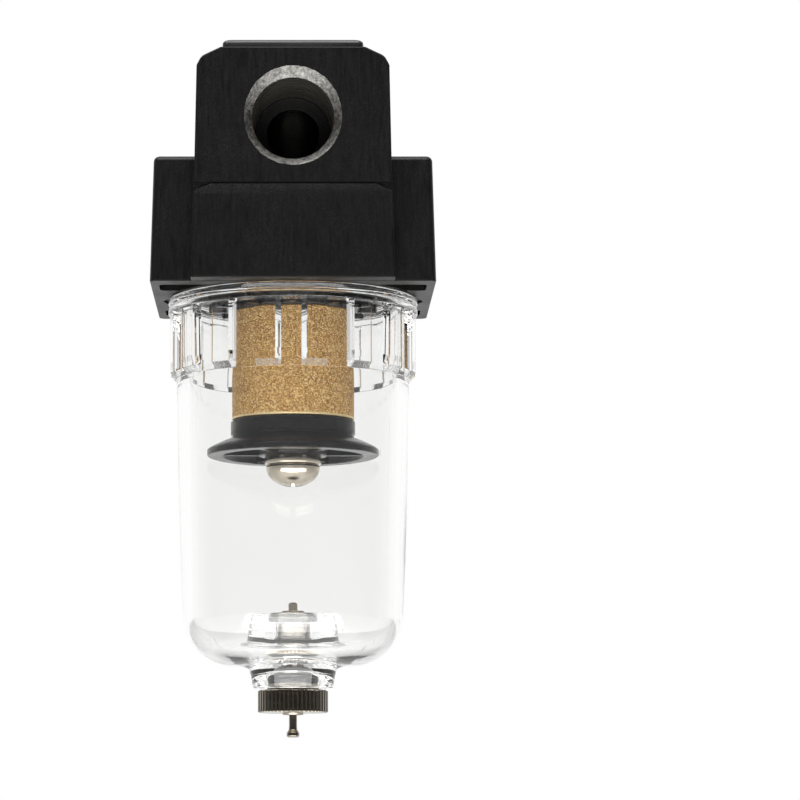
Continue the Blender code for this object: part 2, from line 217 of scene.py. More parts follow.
def nitrile():
    a = Mat("nitrile").set(Specular_IOR_Level=0.35)
    n = a.noise(1500, 4, 0.6)
    a.wire(Base_Color=a.ramp(n, ((0.3, 0.008), (0.7, 0.022))))
    a.wire(Roughness=a.range(n, 0.5, 0.75, 0.3, 0.7))
    a.wire(Normal=a.bump(n, 0.00004, 0.6))
    return a.m


def black_plastic():
    a = Mat("black_plastic").set(Specular_IOR_Level=0.16)
    n = a.noise(420, 4, 0.6)
    fine = a.noise(2600, 3, 0.6)
    a.wire(Base_Color=a.ramp(n, ((0.3, (0.003, 0.003, 0.004)), (0.7, (0.007, 0.007, 0.009)))))
    a.wire(Roughness=a.range(n, 0.12, 0.24, 0.3, 0.7))
    a.wire(Normal=a.bump(fine, 0.00002, 0.4, a.bump(n, 0.00003, 0.25)))
    return a.m


def sintered():
    a = Mat("sintered_bronze").set(Metallic=0.4, Specular_IOR_Level=0.3)
    grains = a.voronoi(4600, "F1", "Distance")
    tint = a.voronoi(4600, "F1", "Color")
    patch = a.noise(330, 4, 0.6)
    body = a.mix(a.range(grains, 0.0, 1.0, 0.12, 0.62), (1.0, 0.66, 0.20), (0.34, 0.14, 0.03))
    sparkle = a.node("ShaderNodeSeparateColor")
    a.link(tint, sparkle.inputs[0])
    tone = a.mix(a.range(sparkle.outputs[0], 0, 1, 0.55, 1.0), body, (1.0, 0.76, 0.38))
    a.wire(Base_Color=a.mix(a.range(patch, 0.0, 0.35, 0.35, 0.7), tone, (0.80, 0.47, 0.17)))
    a.wire(Roughness=a.range(sparkle.outputs[1], 0.34, 0.62))
    dome = a.math("MULTIPLY", a.math("SUBTRACT", 1.0, grains), 1.0)
    a.wire(Normal=a.bump(dome, 0.00022, 0.9))
    return a.m


def element_rim():
    a = Mat("element_rim").set(Metallic=0.9)
    n = a.noise(1600, 4, 0.7)
    a.wire(Base_Color=a.ramp(n, ((0.3, (0.78, 0.56, 0.24)), (0.7, (0.95, 0.80, 0.48)))))
    a.wire(Roughness=a.range(n, 0.25, 0.5, 0.3, 0.7))
    a.wire(Normal=a.bump(n, 0.00005, 0.6))
    return a.m


def nickel(name="nickel", dark=1.0):
    a = Mat(name).set(Metallic=1.0)
    turn = a.noise(1300, 3, 0.6, (0.25, 0.25, 5.0))
    spot = a.noise(260, 5, 0.65)
    a.wire(Base_Color=a.mix(a.range(spot, 0, 1, 0.38, 0.68), (0.74 * dark, 0.68 * dark, 0.58 * dark), (0.56 * dark, 0.49 * dark, 0.39 * dark)))
    a.wire(Roughness=a.range(a.mix(0.5, turn, spot), 0.06, 0.22, 0.3, 0.7))
    a.wire(Normal=a.bump(turn, 0.00002, 0.5))
    return a.m


def gasket_fibre():
    a = Mat("gasket_fibre")
    n = a.noise(1900, 5, 0.7)
    a.wire(Base_Color=a.ramp(n, ((0.3, (0.05, 0.045, 0.04)), (0.7, (0.13, 0.12, 0.105)))))
    a.wire(Roughness=a.range(n, 0.7, 0.9, 0.3, 0.7))
    a.wire(Normal=a.bump(n, 0.00006, 0.7))
    return a.m


def spring_wire():
    a = Mat("spring_wire").set(Metallic=1.0)
    n = a.noise(2200, 3, 0.6)
    a.wire(Base_Color=a.ramp(n, ((0.3, (0.45, 0.45, 0.46)), (0.7, (0.62, 0.62, 0.63)))))
    a.wire(Roughness=a.range(n, 0.18, 0.34, 0.3, 0.7))
    a.wire(Normal=a.bump(n, 0.00002, 0.5))
    return a.m


CAST, CUT, BORE, PLATE = cast_black(), bare_cut(), bore_metal(), plate_black()
CLEAR, FROST, NBR, PLASTIC, BRONZE, RIM = polycarbonate(), frosted(), nitrile(), black_plastic(), sintered(), element_rim()
# the drain body's copy of the valve nickel is darkened to 0.2 of the nickel tone: painted shade for the part that sits
# inside the bowl's neck
NICKEL, VALVE, SHADED_VALVE_NICKEL, FIBRE, WIRE = nickel("screw_nickel", 0.8), nickel("valve_nickel", 0.52), nickel("valve_body_nickel_painted_shade", 0.2), gasket_fibre(), spring_wire()


# ---------------------------------------------------------------- mesh helpers
def rounded(points, closed):
    """Profile points are (r, z) or (r, z, fillet). Returns (r, z) with the fillets turned into arcs."""
    n = len(points)
    out = []
    for i, p in enumerate(points):
        rad = p[2] if len(p) > 2 else 0.0
        if rad <= 0 or (not closed and i in (0, n - 1)):
            out.append((p[0], p[1]))
            continue
        a, b, c = np.array(points[i - 1][:2], float), np.array(p[:2], float), np.array(points[(i + 1) % n][:2], float)
        u, v = a - b, c - b
        lu, lv = np.linalg.norm(u), np.linalg.norm(v)
        u, v = u / lu, v / lv
        ang = math.acos(max(-1, min(1, float(u @ v))))
        if ang > math.pi - 0.02:
            out.append((p[0], p[1]))
            continue
        t = min(rad / math.tan(ang / 2), 0.48 * lu, 0.48 * lv)
        r = t * math.tan(ang / 2)
        steps = max(2, int(math.ceil((math.pi - ang) / math.radians(18 if rad < 1 else 7))))
        mid = (u + v) / np.linalg.norm(u + v)
        centre = b + mid * (r / math.sin(ang / 2))
        s, e = b + u * t - centre, b + v * t - centre
        total = math.acos(max(-1, min(1, float(s @ e) / (np.linalg.norm(s) * np.linalg.norm(e)))))
        for k in range(steps + 1):
            f = k / steps
            w = (math.sin((1 - f) * total) * s + math.sin(f * total) * e) / math.sin(total)
            out.append((float(centre[0] + w[0]), float(centre[1] + w[1])))
    return out


def make(name, verts, faces, mats, angle=40.0, face_mats=None):
    mesh = bpy.data.meshes.new(name)
    mesh.from_pydata([tuple(v) for v in verts], [], faces)
    for m in mats if isinstance(mats, (list, tuple)) else [mats]:
        mesh.materials.append(m)
    if face_mats is not None:
        mesh.polygons.foreach_set("material_index", face_mats)
    mesh.validate()
    bm = bmesh.new()
    bm.from_mesh(mesh)
    bmesh.ops.recalc_face_normals(bm, faces=bm.faces[:])
    bm.to_mesh(mesh)
    bm.free()
    mesh.shade_smooth()
    mesh.set_sharp_from_angle(angle=math.radians(angle))
    o = bpy.data.objects.new(name, mesh)
    bpy.context.scene.collection.objects.link(o)
    return o


def lathe(name, profile, mats, seg=128, radial=None, angles=None, along="Z", angle=40.0, pick=None):
    """Turned solid from a profile in mm; starts and ends on the axis, or is closed on itself.
    radial(theta array, r, z) can change the radius, pick(r, z of a band's middle) the material slot."""
    solid = profile[0][0] == 0 and profile[-1][0] == 0
    prof = rounded(profile, not solid)
    th = np.array(angles) if angles is not None else np.arange(seg) * TAU / seg
    n = len(th)
    verts, rows = [], []
    for r, z in prof:
        if r == 0:
            rows.append(("p", len(verts)))
            verts.append((0, 0, z * MM) if along == "Z" else (0, z * MM, 0))
            continue
        rr = radial(th, r, z) if radial is not None else np.full(n, r)
        x, y = rr * np.sin(th), -rr * np.cos(th)
        rows.append(("r", len(verts)))
        if along == "Z":
            verts += [(a * MM, b * MM, z * MM) for a, b in zip(x, y)]
        else:
            verts += [(a * MM, z * MM, -b * MM) for a, b in zip(x, y)]
    faces, fm = [], []
    pairs = list(zip(range(len(rows)), range(1, len(rows)))) + ([] if solid else [(len(rows) - 1, 0)])
    for i, j in pairs:
        (ka, a), (kb, b) = rows[i], rows[j]
        slot = pick((prof[i][0] + prof[j][0]) / 2, (prof[i][1] + prof[j][1]) / 2) if pick else 0
        for k in range(n):
            l = (k + 1) % n
            if ka == "p":
                faces.append((a, b + k, b + l))
            elif kb == "p":
                faces.append((a + k, b, a + l))
            else:
                faces.append((a + k, b + k, b + l, a + l))
            fm.append(slot)
    return make(name, verts, faces, mats, angle, fm)


def loft(name, loops, mats, angle=40.0):
    n = len(loops[0])
    verts = [tuple(c * MM for c in p) for loop in loops for p in loop]
    faces = []
    for i in range(len(loops) - 1):
        for k in range(n):
            j = (k + 1) % n
            faces.append((i * n + k, i * n + j, (i + 1) * n + j, (i + 1) * n + k))
    faces.append(tuple(range(n))[::-1])
    faces.append(tuple((len(loops) - 1) * n + k for k in range(n)))
    return make(name, verts, faces, mats, angle)


def round_plan(pts, r, steps=6):
    """2-D outline with rounded corners; r is one radius or one per corner."""
    rs = r if isinstance(r, (list, tuple)) else [r] * len(pts)
    out = []
    n = len(pts)
    for i, p in enumerate(pts):
        a, b, c = (np.array(pts[i - 1], float), np.array(p, float), np.array(pts[(i + 1) % n], float))
        u, v = a - b, c - b
        lu, lv = np.linalg.norm(u), np.linalg.norm(v)
        u, v = u / lu, v / lv
        ang = math.acos(max(-1, min(1, float(u @ v))))
        if rs[i] <= 0 or ang > math.pi - 0.01:
            out += [tuple(b)] * 1
            continue
        t = min(rs[i] / math.tan(ang / 2), 0.49 * lu, 0.49 * lv)
        rad = t * math.tan(ang / 2)
        centre = b + (u + v) / np.linalg.norm(u + v) * (rad / math.sin(ang / 2))
        s, e = b + u * t - centre, b + v * t - centre
        tot = math.acos(max(-1, min(1, float(s @ e) / (np.linalg.norm(s) * np.linalg.norm(e)))))
        for k in range(steps + 1):
            f = k / steps
            w = (math.sin((1 - f) * tot) * s + math.sin(f * tot) * e) / math.sin(tot)
            out.append((float(centre[0] + w[0]), float(centre[1] + w[1])))
    return out


def cut(target, other, op="DIFFERENCE"):
    m = target.modifiers.new("cut", "BOOLEAN")
    m.operation, m.solver, m.object = op, "EXACT", other
    m.material_mode = "TRANSFER"
    bpy.context.view_layer.objects.active = target
    for o in bpy.context.selected_objects:
        o.select_set(False)
    target.select_set(True)
    bpy.ops.object.modifier_apply(modifier=m.name)
    bpy.data.objects.remove(other, do_unlink=True)


def crisp(o, angle=32.0):
    """Sharp edges by angle, and face-weighted normals so that large flats stay flat."""
    o.data.shade_smooth()
    o.data.set_sharp_from_angle(angle=math.radians(angle))
    w = o.modifiers.new("normals", "WEIGHTED_NORMAL")
    w.keep_sharp = True
    w.weight = 50


def put(o, body, slot, *nodes):
    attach(o, body)
    if nodes:
        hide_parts(*nodes)
    return o


def helix(base, pitch, depth, lead_lo, lead_hi, hand=1.0):
    """A 60 degree thread form: radius base with a ridge of that depth, faded out at both ends."""
    def f(th, r, z):
        phase = (z / pitch + hand * th / TAU) % 1.0
        ridge = np.clip(1.0 - np.abs(phase - 0.5) * 2 / 0.86, 0, 1)
        fade = np.clip(min((z - lead_lo) / 0.6, (lead_hi - z) / 0.6), 0, 1)
        return base + np.clip(ridge * 1.15, 0, 1) * depth * fade
    return f


# ---------------------------------------------------------------- head
HB, WT = -23.0, -5.0


def rrect(hx, hy, r, z, steps=5):
    return [(x, y, z) for x, y in round_plan([(hx, hy), (-hx, hy), (-hx, -hy), (hx, -hy)], r, steps)]


def box_rows(z0, z1, hx0, hx1, hy0, hy1, r, top_r, bottom_r, steps=5):
    rows = []
    for k in range(steps + 1):
        a = math.pi / 2 * k / steps
        z = z0 + bottom_r * (1 - math.sin(a))
        inset = bottom_r * (1 - math.cos(a))
        rows.append((z, inset))
    rows = rows[::-1]
    rows = [(z0 + bottom_r * (1 - math.cos(a)), bottom_r * (1 - math.sin(a))) for a in (math.pi / 2 * k / steps for k in range(steps + 1))]
    rows += [(z1 - top_r * (1 - math.sin(a)), top_r * (1 - math.cos(a))) for a in (math.pi / 2 * k / steps for k in range(steps + 1))]
    out = []
    for z, inset in rows:
        t = (z - z0) / (z1 - z0)
        out.append(rrect(hx0 + (hx1 - hx0) * t - inset, hy0 + (hy1 - hy0) * t - inset, max(r - inset, 0.15), z, steps))
    return out


head = loft("head", box_rows(HB, WT, 20.15, 19.68, 17.10, 16.85, 0.95, 0.75, 0.16), [CAST, CUT, BORE])
foot = loft("foot", box_rows(HB + 0.05, -9.0, 14.33, 13.98, 20.0, 19.97, 0.45, 0.2, 0.16), [CAST, CUT, BORE])
# sloping strip at the top of the foot, on both port sides
for s in (-1, 1):
    plan = [(19.72, -9.35), (20.03, -11.55), (21.5, -11.55), (21.5, -8.0), (19.46, -8.0), (19.46, -9.2)]
    w = loft("strip", [[(x, s * y, z) for y, z in plan] for x in (-16.0, 16.0)], CAST)
    cut(foot, w)
port_plan = [(-13.92, -10.0), (13.92, -10.0), (13.60, 7.5), (12.9, 8.8), (10.2, 10.1), (-10.2, 10.1), (-12.9, 8.8), (-13.60, 7.5)]
outline = round_plan(port_plan, [0, 0, 0.9, 1.6, 0.5, 0.5, 1.6, 0.9], 6)
rows = []
E = 0.18
for y, inset in [(-19.5 + E * (1 - math.sin(a)), E * (1 - math.cos(a))) for a in (math.pi / 2 * k / 4 for k in range(5))][::-1]:
    rows.append((y, inset))
rows = sorted([(-19.5 + E * (1 - math.sin(a)), E * (1 - math.cos(a))) for a in (math.pi / 2 * k / 4 for k in range(5))])
half = []
for k in range(5):
    a = math.pi / 2 * k / 4
    half.append((-19.5 + E * (1 - math.cos(a)), E * (1 - math.sin(a))))
rows = half + [(-y, i) for y, i in half[::-1]]
port = loft("port", [[(x * (1 - i / 13.6), y, z - (i if z > 0 else 0)) for x, z in outline] for y, i in rows], [CAST, CUT, BORE])
cut(head, foot, "UNION")
cut(head, port, "UNION")

# thin saw-cut line where the foot meets the port face, with a darker notch at both ends
for s in (-1, 1):
    g = loft("groove", [[(x, s * 19.38, -9.62), (x, s * 20.6, -9.62), (x, s * 20.6, -9.22), (x, s * 19.38, -9.28)] for x in (-15.0, 15.0)], CAST)
    cut(head, g)
    for e in (-1, 1):
        pts = [(e * 14.6, -9.55), (e * 11.6, -9.6), (e * 12.6, -10.1), (e * 14.6, -10.85)]
        g = loft("notch", [[(x, s * y, z) for x, z in pts] for y in (19.25, 20.8)], CAST)
        cut(head, g)

# bowl socket, with the thread cut into its wall
socket_thread = helix(16.80, 1.5, 0.18, -22.4, -17.2)
prof = [(0, HB - 1.0), (17.6, HB - 1.0), (17.6, HB + 0.05), (17.02, HB + 0.62)]
zs = np.linspace(-22.4, -17.2, 60)
prof += [(16.71, float(z)) for z in zs]
prof += [(17.0, -16.9), (17.0, -15.0), (12.5, -15.0), (12.5, -9.5, 0.6), (5.2, -9.5, 0.6), (5.2, -22.0, 0.2), (4.0, -22.0, 0.2), (4.0, 3.6), (2.15, 3.6), (2.15, 8.0), (0, 8.4)]
bore = lathe("bore", prof, [CAST], seg=160, radial=lambda th, r, z: socket_thread(th, r, z) if abs(r - 16.71) < 1e-6 else np.full(len(th), r))
cut(head, bore)


def port_cutter(side, hole, stop, thread):
    face = 19.5
    prof = [(0, face + 2.5), (6.98, face + 2.5), (6.90, face + 0.02), (5.86, face - 0.98), (5.76, face - 1.35)]
    prof += [(5.7601 - 0.3 * (face - 1.5 - y) / 11.5, y) for y in np.linspace(face - 1.5, 7.6, 110 if FINE else 60)]
    prof += [(5.43, 7.2, 0.12), (hole, 7.2, 0.1), (hole, stop), (0, stop)]
    prof = [(p[0], side * p[1], *p[2:]) for p in prof]

    def radial(th, r, y):
        depth = face - abs(y)
        ripple = 0.0
        if 1.6 < depth < 11.6 and 5.4 < r < 5.8:
            fade = min(1, (depth - 1.6) / 3.5) * min(1, (11.6 - depth) / 1.0)
            phase = (y / 1.337 + side * th / TAU) % 1.0
            ripple = thread * fade * np.clip(1.1 - np.abs(phase - 0.5) * 2.4, 0, 1)
        if r > 6.85 and depth < 0.5:
            ripple = 0.5 * np.clip(np.cos(th), 0, 1) ** 1.5 + 0.035 * np.sin(th * 23 + 1.3) * np.sin(th * 7) + 0.02 * np.sin(th * 61) * np.sin(th * 5)
        return r + ripple + np.zeros(len(th))

    def pick(r, y):
        depth = face - abs(y)
        return 1 if depth < 1.3 else (2 if depth < 12.0 else 0)

    return lathe("port_cutter", prof, [CAST, CUT, BORE], seg=200, radial=radial, along="Y", pick=pick)


cut(head, port_cutter(-1, 3.8, 6.1, 0.13))
cut(head, port_cutter(1, 3.5, 2.4, 0.13))
arc = [(x, -math.sqrt(5.22 ** 2 - x * x)) for x in np.linspace(3.7, -3.7, 15)]
cut(head, loft("slot", [[(x, y, z) for x, y in [(-3.7, -7.0), (3.7, -7.0)] + arc] for z in (-10.3, 3.7)], CAST))

# corner pockets and the small pointers beside the bowl
for sx in (-1, 1):
    for sy in (-1, 1):
        curve = [(math.sin(math.radians(d)) * 18.45, math.cos(math.radians(d)) * 18.45) for d in np.linspace(41.0, 61.5, 12)]
        outline = round_plan([(18.9, 8.8), (18.9, 14.0)], 0)
        plan = round_plan([(18.95, 8.8), (18.95, 14.0), (12.0, 14.0)] + curve, [0.9, 0.9, 0] + [0] * len(curve), 6)
        cut(head, loft("pocket", [[(sx * x, sy * y, z) for x, y in plan] for z in (HB - 1, -15.0)], CAST))
    tri = [(sx * 17.2, -5.2), (sx * 18.95, 0.9), (sx * 17.2, 7.2)]
    cut(head, loft("pointer", [[(x, y, z) for x, y in tri] for z in (HB - 1, HB + 0.35)], CAST))
crisp(head)
put(head, "head", "black_cast", "head_body")

# ---------------------------------------------------------------- plate
PT = 10.1
rows = []
for z, i in ((PT + 0.05, 0.0), (PT + 0.62, 0.0), (PT + 0.86, 0.08), (PT + 1.08, 0.30), (PT + 1.15, 0.45)):
    rows.append(rrect(9.95 - i, 19.1 - i, 0.8, z, 5))
plate = loft("plate", rows, PLATE)
arrow = round_plan([(-1.1, -8.5), (1.1, -8.5), (1.1, 3.0), (3.4, 3.0), (0, 8.5), (-3.4, 3.0), (-1.1, 3.0)], 0.25, 4)
cut(plate, loft("arrow", [[(x * s, y * (1 - (1 - s) * 0.3), z) for x, y in arrow] for z, s in ((PT + 0.4, 1.0), (PT + 1.17, 1.0), (PT + 1.27, 0.80))], PLATE), "UNION")
crisp(plate)
put(plate, "head", "black_plate", "top_plate")

# ---------------------------------------------------------------- bowl
RIBS = 16
PER = 40 if FINE else 24
theta, lift = [], []
TURN = math.radians(0.8)
foot_half, wide, narrow = math.radians(6.4), math.radians(2.4), math.radians(1.0)
for k in range(RIBS):
    c = TAU * (k + 0.5) / RIBS
    lo, hi = (wide, narrow) if math.sin(2 * c) > 0 else (narrow, wide)
    theta += [c - TURN - math.pi / RIBS + TAU / RIBS * (j + 0.5) / PER for j in range(PER)]
    theta += [c - TURN + d for d in (-foot_half - 0.004, -foot_half, -foot_half + lo, -foot_half + lo + 0.006, foot_half - hi - 0.006, foot_half - hi, foot_half, foot_half + 0.004)]
theta = np.sort(np.array(theta))
turned = (theta + TURN) % TAU
centre = TAU * (np.floor(turned / (TAU / RIBS)) + 0.5) / RIBS
local = turned - centre
flank = np.where(np.sign(local) == -np.sign(np.sin(2 * centre)), wide, narrow)
bev = np.clip((foot_half - np.abs(local)) / flank, 0, 1)
neck_thread = helix(16.15, 1.5, 0.42, -22.6, -17.3)


def bowl_radial(th, r, z):
    if 17.8 < r < 17.9 and -35.2 < z < -25.4:
        return 16.9 + (r - 16.9) * bev
    if 16.149 < r < 16.151 and z > -22.7:
        return neck_thread(th, r, z)
    return np.full(len(th), r)


outer = [(15.3, -16.9, 0.25), (16.2, -16.9, 0.3), (16.15, -17.25)]
outer += [(16.15, float(z)) for z in np.linspace(-17.35, -22.6, 64)]
outer += [(16.2, -23.1, 0.25), (18.13, -23.1, 0.28), (18.13, -23.92, 0.3), (17.5, -24.16, 0.12), (18.12, -24.4, 0.28), (18.12, -25.22, 0.3), (17.85, -25.48)]
outer += [(17.85, -25.6), (17.85, -29.0), (17.85, -33.6), (17.85, -34.0), (16.9, -34.9, 0.2), (16.84, -36.6, 1.6), (16.74, -40.5, 3.0), (16.6, -49.0), (16.2, -61.0)]
outer += [(8.43 + 7.4 * math.cos(a), -68.75 - 7.4 * math.sin(a)) for a in (math.radians(5 * k) for k in range(19))]
outer += [(7.2, -76.15, 0.5), (6.35, -76.55, 0.4), (6.05, -77.5), (5.72, -79.4, 0.35)]
inner = [(3.95, -79.4, 0.2), (3.95, -76.9, 0.15), (2.75, -76.6, 0.15), (2.75, -70.7, 0.1), (3.75, -70.6, 0.1), (3.75, -68.9, 0.15), (5.95, -68.9, 0.45), (6.25, -70.2, 0.6),
         (6.7, -74.3, 0.8)]
inner += [(8.65 + 5.7 * math.cos(a), -68.6 + 5.7 * math.sin(a)) for a in (math.radians(5 * k - 90) for k in range(19))]
inner += [(14.5, -60.0), (14.8, -45.0), (15.0, -33.1, 0.8), (15.12, -32.2, 0.8), (15.2, -24.0)]
prof = outer + inner
bowl = lathe("bowl_clear", prof, [CLEAR, FROST], angles=theta, radial=bowl_radial, angle=24.0)
for f in bowl.data.polygons:
    if 16.96 < math.hypot(f.center.x, f.center.y) / MM < 17.79 and -34.9 < f.center.z / MM < -34.0:
        f.material_index = 1
put(bowl, "bowl", "clear_polycarbonate", "bowl")


def torus(name, mean_r, half, z, mat, body, slot, node, seg=120, sides=20, flat=1.0):
    prof = [(mean_r + half * math.cos(TAU * k / sides), z + half * flat * math.sin(TAU * k / sides)) for k in range(sides)]
    return put(lathe(name, prof, [mat], seg=seg, angle=60), body, slot, node)


torus("rim_o_ring", 15.95, 0.82, -15.96, NBR, "bowl_seal", "nitrile_rubber", "bowl_o_ring")

# ---------------------------------------------------------------- deflector
prof = [(4.3, -22.15, 0.15), (12.35, -22.15, 0.25), (12.35, -22.95, 0.25), (9.75, -22.95, 0.2), (9.75, -24.85, 0.15), (9.0, -24.85, 0.15), (9.0, -24.0, 0.1), (4.3, -24.0, 0.15)]
defl = lathe("deflector_ring", prof, [PLASTIC], seg=144)
for k in range(12):
    a0 = TAU * k / 12
    loops = []
    for j in range(7):
        f = j / 6
        z = -25.1 + 2.5 * f
        ang = a0 + math.radians(13) * f * f
        loops.append([(r * math.sin(ang + d), -r * math.cos(ang + d), z) for r, d in ((9.4, -0.038), (12.2, -0.03), (12.25, 0.0), (12.2, 0.03), (9.4, 0.038))])
    cut(defl, loft("vane", loops, PLASTIC), "UNION")
crisp(defl)
put(defl, "head", "black_plastic", "deflector")

# ---------------------------------------------------------------- element and gaskets
put(lathe("gasket_top", [(6.2, -24.1, 0.1), (8.6, -24.1, 0.1), (8.6, -24.9, 0.1), (6.2, -24.9, 0.1)], [FIBRE], seg=96), "head", "gasket", "element_top_gasket")
put(lathe("gasket_bottom", [(6.2, -40.9, 0.1), (8.1, -40.9, 0.1), (8.1, -41.4, 0.1), (6.2, -41.4, 0.1)], [FIBRE], seg=96), "head", "gasket", "element_bottom_gasket")

rng = np.random.default_rng(7)
SEGE = 420 if FINE else 200
zs = np.linspace(-25.25, -40.35, 240 if FINE else 100)


def grainy(th, r, z):
    if 8.84 < r < 8.86:
        return r - 0.05 + rng.random(len(th)) * 0.05
    return np.full(len(th), r)


prof = [(6.0, -25.0), (8.55, -25.0, 0.1), (8.8, -25.2, 0.1)] + [(8.85, float(z)) for z in zs] + [(8.82, -40.42), (8.84, -40.5, 0.05), (8.84, -40.72, 0.1), (8.6, -40.8, 0.08), (6.0, -40.8)]
element = lathe("element", prof, [BRONZE, RIM], seg=SEGE, radial=grainy, angle=80, pick=lambda r, z: 1 if z < -40.4 and r > 8.0 else 0)
put(element, "head", "sintered_bronze", "filter_element")

# ---------------------------------------------------------------- baffle
prof = [(2.3, -41.5, 0.1), (8.4, -41.5, 0.1), (8.4, -40.95, 0.1), (9.0, -40.95, 0.15), (9.0, -42.75, 0.2), (8.72, -43.05, 0.15), (9.05, -43.4, 0.4), (10.6, -44.05, 1.2), (11.9, -44.7, 0.8),
        (12.45, -45.12, 0.2), (12.45, -45.95, 0.22), (10.15, -45.95, 0.2), (9.8, -45.2, 0.3), (8.2, -43.9, 0.4), (5.4, -43.9, 0.3), (4.95, -45.85, 0.25), (2.3, -45.85, 0.1)]
baffle = lathe("baffle_disc", prof, [PLASTIC], seg=160)
for k in range(6):
    a = math.pi / 6 + math.pi * k / 3
    c, s = math.cos(a), math.sin(a)
    loops = []
    for z, rr, h in ((-45.75, 10.6, 0.36), (-45.1, 10.4, 0.4), (-43.6, 8.4, 0.42)):
        loops.append([(u * s + w * c, -u * c + w * s, z) for u, w in ((4.6, -h), (rr, -h), (rr, h), (4.6, h))])
    cut(baffle, loft("rib", loops, PLASTIC), "UNION")
crisp(baffle)
put(baffle, "head", "black_plastic", "baffle")

# ---------------------------------------------------------------- washer and screw
put(lathe("washer", [(2.15, -45.95, 0.08), (4.1, -45.95, 0.12), (4.1, -47.1, 0.2), (2.15, -47.1, 0.08)], [NICKEL], seg=128), "head", "nickel_plate", "screw_washer")
m4 = helix(1.62, 0.7, 0.31, -22.0, 7.0)
prof = [(0, 7.4), (1.3, 7.4, 0.1), (1.62, 7.05)] + [(1.6201, float(z)) for z in np.linspace(6.9, -21.9, 330 if FINE else 60)]
prof += [(1.95, -22.4, 0.2), (1.95, -47.2, 0.1), (3.8, -47.2, 0.15)]
prof += [(3.88, -47.5, 0.2)] + [(3.88 * math.cos(a), -47.62 - 2.58 * math.sin(a)) for a in np.linspace(0.05, math.pi / 2 - 0.06, 18)] + [(0, -50.2)]
screw = lathe("screw", prof, [NICKEL], seg=96, radial=lambda th, r, z: m4(th, r, z) if abs(r - 1.6201) < 1e-6 else np.full(len(th), r), angle=50)
for hx, hy in ((1.75, 0.36), (0.36, 1.75)):
    loops = [[(x * t, y * (0.6 + 0.4 * t), z) for x, y in round_plan([(-hx, -hy), (hx, -hy), (hx, hy), (-hx, hy)], 0.12, 3)] for z, t in ((-50.8, 1.2), (-48.4, 0.42))]
    cut(screw, loft("recess", loops, NICKEL))
crisp(screw, 45)
put(screw, "head", "nickel_plate", "retaining_screw")

# ---------------------------------------------------------------- drain valve
m5 = helix(2.36, 0.75, 0.14, -81.5, -77.0)
prof = [(0.85, -69.9, 0.08), (1.75, -69.9, 0.05), (1.75, -69.05, 0.12), (3.25, -69.05, 0.25), (3.4, -70.1, 0.12), (2.5, -70.1, 0.05), (2.5, -76.8, 0.1)]
prof += [(2.3601, float(z)) for z in np.linspace(-77.0, -81.5, 60)]
prof += [(2.2, -81.8, 0.08), (1.75, -81.8, 0.08), (1.75, -72.0, 0.08), (0.85, -71.9, 0.08)]
# painted shade: the drain body uses the darkened copy of the nickel plate
body = lathe("valve_body", prof, [SHADED_VALVE_NICKEL], seg=96, radial=lambda th, r, z: m5(th, r, z) if abs(r - 2.3601) < 1e-6 else np.full(len(th), r))
put(body, "bowl", "nickel_plate", "drain_body")
put(lathe("flange_gasket", [(2.6, -70.15, 0.08), (3.6, -70.15, 0.08), (3.6, -70.5, 0.08), (2.6, -70.5, 0.08)], [NBR], seg=96), "bowl", "nitrile_rubber", "drain_flange_gasket")
torus("neck_o_ring", 3.2, 0.6, -77.65, NBR, "bowl", "nitrile_rubber", "drain_o_ring", seg=96)
put(lathe("neck_washer", [(2.65, -78.45, 0.08), (3.8, -78.45, 0.12), (3.8, -79.45, 0.12), (2.65, -79.45, 0.08)], [VALVE], seg=96), "drain_washer", "nickel_plate", "drain_washer")

TEETH = 48
th = np.arange(TEETH * 12) * TAU / (TEETH * 12)


def knurl(t, r, z):
    if r > 4.85:
        tooth = (t * TEETH / TAU) % 1.0
        v = np.clip(1 - np.abs(tooth - 0.5) * 2, 0, 1)
        return r - 0.28 * np.clip((v - 0.36) / 0.64, 0, 1) * min(1, (r - 4.85) / 0.12)
    return np.full(len(t), r)


prof = [(2.62, -79.55, 0.1), (4.75, -79.55), (5.02, -79.72), (5.02, -79.9), (5.02, -82.5), (5.02, -82.66), (4.75, -82.8), (1.55, -82.8, 0.05), (1.45, -83.1, 0.08), (1.2, -83.1, 0.05), (1.2, -82.1, 0.1), (2.62, -82.1, 0.1)]
nut = lathe("knurled_nut", prof, [VALVE], angles=th, radial=knurl, angle=28)
put(nut, "drain_nut", "nickel_plate", "drain_nut")

prof = [(0, -66.9), (0.5, -66.9, 0.12), (0.65, -67.1, 0.1), (0.65, -68.3, 0.05), (1.6, -68.3, 0.12), (1.6, -68.75, 0.1), (0.58, -68.75, 0.05), (0.58, -84.6, 0.6), (0.62, -85.2, 0.3), (0.92, -85.65, 0.12),
        (0.92, -86.08, 0.12), (0.7, -86.3, 0.1), (0, -86.3)]
put(lathe("pin", prof, [VALVE], seg=64), "drain_pin", "nickel_plate", "drain_pin")
put(lathe("pin_seal", [(0.64, -68.8, 0.05), (1.5, -68.8, 0.08), (1.5, -69.7, 0.15), (1.3, -69.85, 0.05), (0.64, -69.85, 0.05)], [NBR], seg=64), "drain_pin", "nitrile_rubber", "drain_pin_seal")
put(lathe("pin_clip", [(0.64, -78.3, 0.05), (1.5, -78.3, 0.06), (1.5, -78.7, 0.06), (0.64, -78.7, 0.05)], [WIRE], seg=64), "drain_pin", "spring_steel", "drain_pin_clip")

